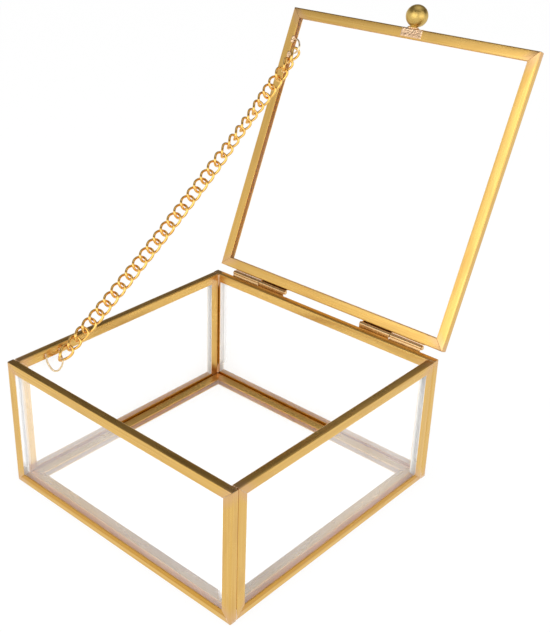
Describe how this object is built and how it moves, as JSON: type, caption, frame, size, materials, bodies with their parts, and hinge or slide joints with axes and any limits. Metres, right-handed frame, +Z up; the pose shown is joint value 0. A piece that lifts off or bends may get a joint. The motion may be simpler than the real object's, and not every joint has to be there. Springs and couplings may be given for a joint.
{
  "type": "jewelry box",
  "caption": "Square clear-glass box in brass channel, with a hinged lid, a ball knob and a curb chain that holds the lid open.",
  "frame": {"origin": "under the middle of the whole object, lid open, on the plane that it stands on", "axes": "+Z up, -Y towards the front with the knob when the lid is closed, +Y towards the hinges, -X towards the chain"},
  "size_m": [0.15, 0.2202, 0.2229],
  "materials": {
    "channel_brass": "satin, warm gold, soldered corners",
    "hinge_brass": "satin",
    "knob_brass": "polished",
    "chain_brass": "polished",
    "clear_glass": "clear"
  },
  "bodies": {
    "base": {"floor_frame": "channel_brass", "floor_glass": "clear_glass", "front_frame": "channel_brass", "front_glass": "clear_glass", "back_frame": "channel_brass", "back_glass": "clear_glass", "left_frame": "channel_brass", "left_glass": "clear_glass", "right_frame": "channel_brass", "right_glass": "clear_glass", "left_hinge_base_barrel": "hinge_brass", "left_hinge_pin": "hinge_brass", "right_hinge_base_barrel": "hinge_brass", "right_hinge_pin": "hinge_brass", "base_chain_eye": "chain_brass"},
    "lid": {"lid_frame": "channel_brass", "lid_glass": "clear_glass", "lid_knob": "knob_brass", "lid_chain_eye": "chain_brass", "left_hinge_lid_barrel": "hinge_brass", "right_hinge_lid_barrel": "hinge_brass"},
    "lower_chain_1": {"chain_link_01": "chain_brass", "chain_link_02": "chain_brass"},
    "lower_chain_2": {"chain_link_03": "chain_brass", "chain_link_04": "chain_brass", "chain_link_05": "chain_brass", "chain_link_06": "chain_brass"},
    "lower_chain_3": {"chain_link_07": "chain_brass", "chain_link_08": "chain_brass", "chain_link_09": "chain_brass"},
    "lower_chain_4": {"chain_link_10": "chain_brass", "chain_link_11": "chain_brass"},
    "lower_chain_5": {"chain_link_12": "chain_brass", "chain_link_13": "chain_brass"},
    "lower_chain_6": {"chain_link_14": "chain_brass"},
    "lower_chain_7": {"chain_link_15": "chain_brass"},
    "lower_chain_8": {"chain_link_16": "chain_brass"},
    "lower_chain_9": {"chain_link_17": "chain_brass"},
    "upper_chain_1": {"chain_link_34": "chain_brass", "chain_link_35": "chain_brass"},
    "upper_chain_2": {"chain_link_30": "chain_brass", "chain_link_31": "chain_brass", "chain_link_32": "chain_brass", "chain_link_33": "chain_brass"},
    "upper_chain_3": {"chain_link_27": "chain_brass", "chain_link_28": "chain_brass", "chain_link_29": "chain_brass"},
    "upper_chain_4": {"chain_link_25": "chain_brass", "chain_link_26": "chain_brass"},
    "upper_chain_5": {"chain_link_23": "chain_brass", "chain_link_24": "chain_brass"},
    "upper_chain_6": {"chain_link_21": "chain_brass", "chain_link_22": "chain_brass"},
    "upper_chain_7": {"chain_link_20": "chain_brass"},
    "upper_chain_8": {"chain_link_19": "chain_brass"},
    "upper_chain_9": {"chain_link_18": "chain_brass"}
  },
  "joints": [
    {"name": "lid_hinge", "type": "hinge", "parent": "base", "child": "lid", "pos_m": [0, 0.04183, 0.07134], "axis": [1, 0, 0], "range_deg": [0, 112.7]},
    {"name": "lower_chain_1_turn", "type": "hinge", "parent": "base", "child": "lower_chain_1", "pos_m": [-0.06691, -0.08289, 0.0649], "axis": [-0.9969, 0.0241, -0.0746], "range_deg": [0, 29.73]},
    {"name": "lower_chain_2_turn", "type": "hinge", "parent": "lower_chain_1", "child": "lower_chain_2", "pos_m": [-0.06662, -0.07275, 0.07141], "axis": [-0.9997, 0.0217, 0.0101], "range_deg": [0, 42.76]},
    {"name": "lower_chain_3_turn", "type": "hinge", "parent": "lower_chain_2", "child": "lower_chain_3", "pos_m": [-0.06605, -0.05262, 0.08468], "axis": [-0.9997, 0.0197, 0.0131], "range_deg": [0, 42.85]},
    {"name": "lower_chain_4_turn", "type": "hinge", "parent": "lower_chain_3", "child": "lower_chain_4", "pos_m": [-0.06562, -0.03768, 0.09486], "axis": [-0.3921, -0.5179, 0.7603], "range_deg": [0, 3.8]},
    {"name": "lower_chain_5_turn", "type": "hinge", "parent": "lower_chain_4", "child": "lower_chain_5", "pos_m": [-0.06534, -0.02778, 0.10175], "axis": [0.9942, 0.0414, -0.0993], "range_deg": [0, 32.1]},
    {"name": "lower_chain_6_turn", "type": "hinge", "parent": "lower_chain_5", "child": "lower_chain_6", "pos_m": [-0.06505, -0.01795, 0.10872], "axis": [0.641, -0.4599, 0.6145], "range_deg": [0, 31.54]},
    {"name": "lower_chain_7_turn", "type": "hinge", "parent": "lower_chain_6", "child": "lower_chain_7", "pos_m": [-0.06491, -0.01305, 0.11223], "axis": [0.6698, 0.4226, -0.6105], "range_deg": [0, 39.47]},
    {"name": "lower_chain_8_turn", "type": "hinge", "parent": "lower_chain_7", "child": "lower_chain_8", "pos_m": [-0.06477, -0.00817, 0.11577], "axis": [0.1751, 0.5776, -0.7974], "range_deg": [0, 41.97]},
    {"name": "lower_chain_9_turn", "type": "hinge", "parent": "lower_chain_8", "child": "lower_chain_9", "pos_m": [-0.06462, -0.00331, 0.11932], "axis": [0.1353, 0.5853, -0.7994], "range_deg": [0, 32.98]},
    {"name": "upper_chain_1_turn", "type": "hinge", "parent": "lid", "child": "upper_chain_1", "pos_m": [-0.06191, 0.08623, 0.19067], "axis": [-0.9991, -0.0075, 0.0423], "range_deg": [0, 61.07]},
    {"name": "upper_chain_2_turn", "type": "hinge", "parent": "upper_chain_1", "child": "upper_chain_2", "pos_m": [-0.06219, 0.07707, 0.18283], "axis": [0.9279, -0.2554, 0.2716], "range_deg": [0, 3.82]},
    {"name": "upper_chain_3_turn", "type": "hinge", "parent": "upper_chain_2", "child": "upper_chain_3", "pos_m": [-0.06277, 0.05857, 0.16737], "axis": [0.9341, -0.2416, 0.2629], "range_deg": [0, 24.77]},
    {"name": "upper_chain_4_turn", "type": "hinge", "parent": "upper_chain_3", "child": "upper_chain_4", "pos_m": [-0.06319, 0.04452, 0.15599], "axis": [0.9467, -0.2173, 0.2377], "range_deg": [0, 39.16]},
    {"name": "upper_chain_5_turn", "type": "hinge", "parent": "upper_chain_4", "child": "upper_chain_5", "pos_m": [-0.06348, 0.03508, 0.1485], "axis": [0.9842, -0.1262, 0.1239], "range_deg": [0, 16.75]},
    {"name": "upper_chain_6_turn", "type": "hinge", "parent": "upper_chain_5", "child": "upper_chain_6", "pos_m": [-0.06377, 0.02558, 0.14108], "axis": [0.8126, 0.3391, -0.474], "range_deg": [0, 6.47]},
    {"name": "upper_chain_7_turn", "type": "hinge", "parent": "upper_chain_6", "child": "upper_chain_7", "pos_m": [-0.06405, 0.01601, 0.13375], "axis": [0.4969, 0.5142, -0.6991], "range_deg": [0, 16.54]},
    {"name": "upper_chain_8_turn", "type": "hinge", "parent": "upper_chain_7", "child": "upper_chain_8", "pos_m": [-0.06419, 0.0112, 0.13011], "axis": [0.3449, 0.5567, -0.7557], "range_deg": [0, 17.08]},
    {"name": "upper_chain_9_turn", "type": "hinge", "parent": "upper_chain_8", "child": "upper_chain_9", "pos_m": [-0.06434, 0.00638, 0.1265], "axis": [0.3484, 0.5527, -0.757], "range_deg": [0, 29.09]}
  ],
  "couplings": [
    {"joint": "lower_chain_1_turn", "follows": "lid_hinge", "ratio": 0.26367},
    {"joint": "lower_chain_2_turn", "follows": "lid_hinge", "ratio": 0.37931},
    {"joint": "lower_chain_3_turn", "follows": "lid_hinge", "ratio": 0.38011},
    {"joint": "lower_chain_4_turn", "follows": "lid_hinge", "ratio": 0.033632},
    {"joint": "lower_chain_5_turn", "follows": "lid_hinge", "ratio": 0.28477},
    {"joint": "lower_chain_6_turn", "follows": "lid_hinge", "ratio": 0.27977},
    {"joint": "lower_chain_7_turn", "follows": "lid_hinge", "ratio": 0.35013},
    {"joint": "lower_chain_8_turn", "follows": "lid_hinge", "ratio": 0.37229},
    {"joint": "lower_chain_9_turn", "follows": "lid_hinge", "ratio": 0.29259},
    {"joint": "upper_chain_1_turn", "follows": "lid_hinge", "ratio": 0.54182},
    {"joint": "upper_chain_2_turn", "follows": "lid_hinge", "ratio": 0.033785},
    {"joint": "upper_chain_3_turn", "follows": "lid_hinge", "ratio": 0.21966},
    {"joint": "upper_chain_4_turn", "follows": "lid_hinge", "ratio": 0.34742},
    {"joint": "upper_chain_5_turn", "follows": "lid_hinge", "ratio": 0.1485},
    {"joint": "upper_chain_6_turn", "follows": "lid_hinge", "ratio": 0.057362},
    {"joint": "upper_chain_7_turn", "follows": "lid_hinge", "ratio": 0.14665},
    {"joint": "upper_chain_8_turn", "follows": "lid_hinge", "ratio": 0.15148},
    {"joint": "upper_chain_9_turn", "follows": "lid_hinge", "ratio": 0.25803}
  ]
}
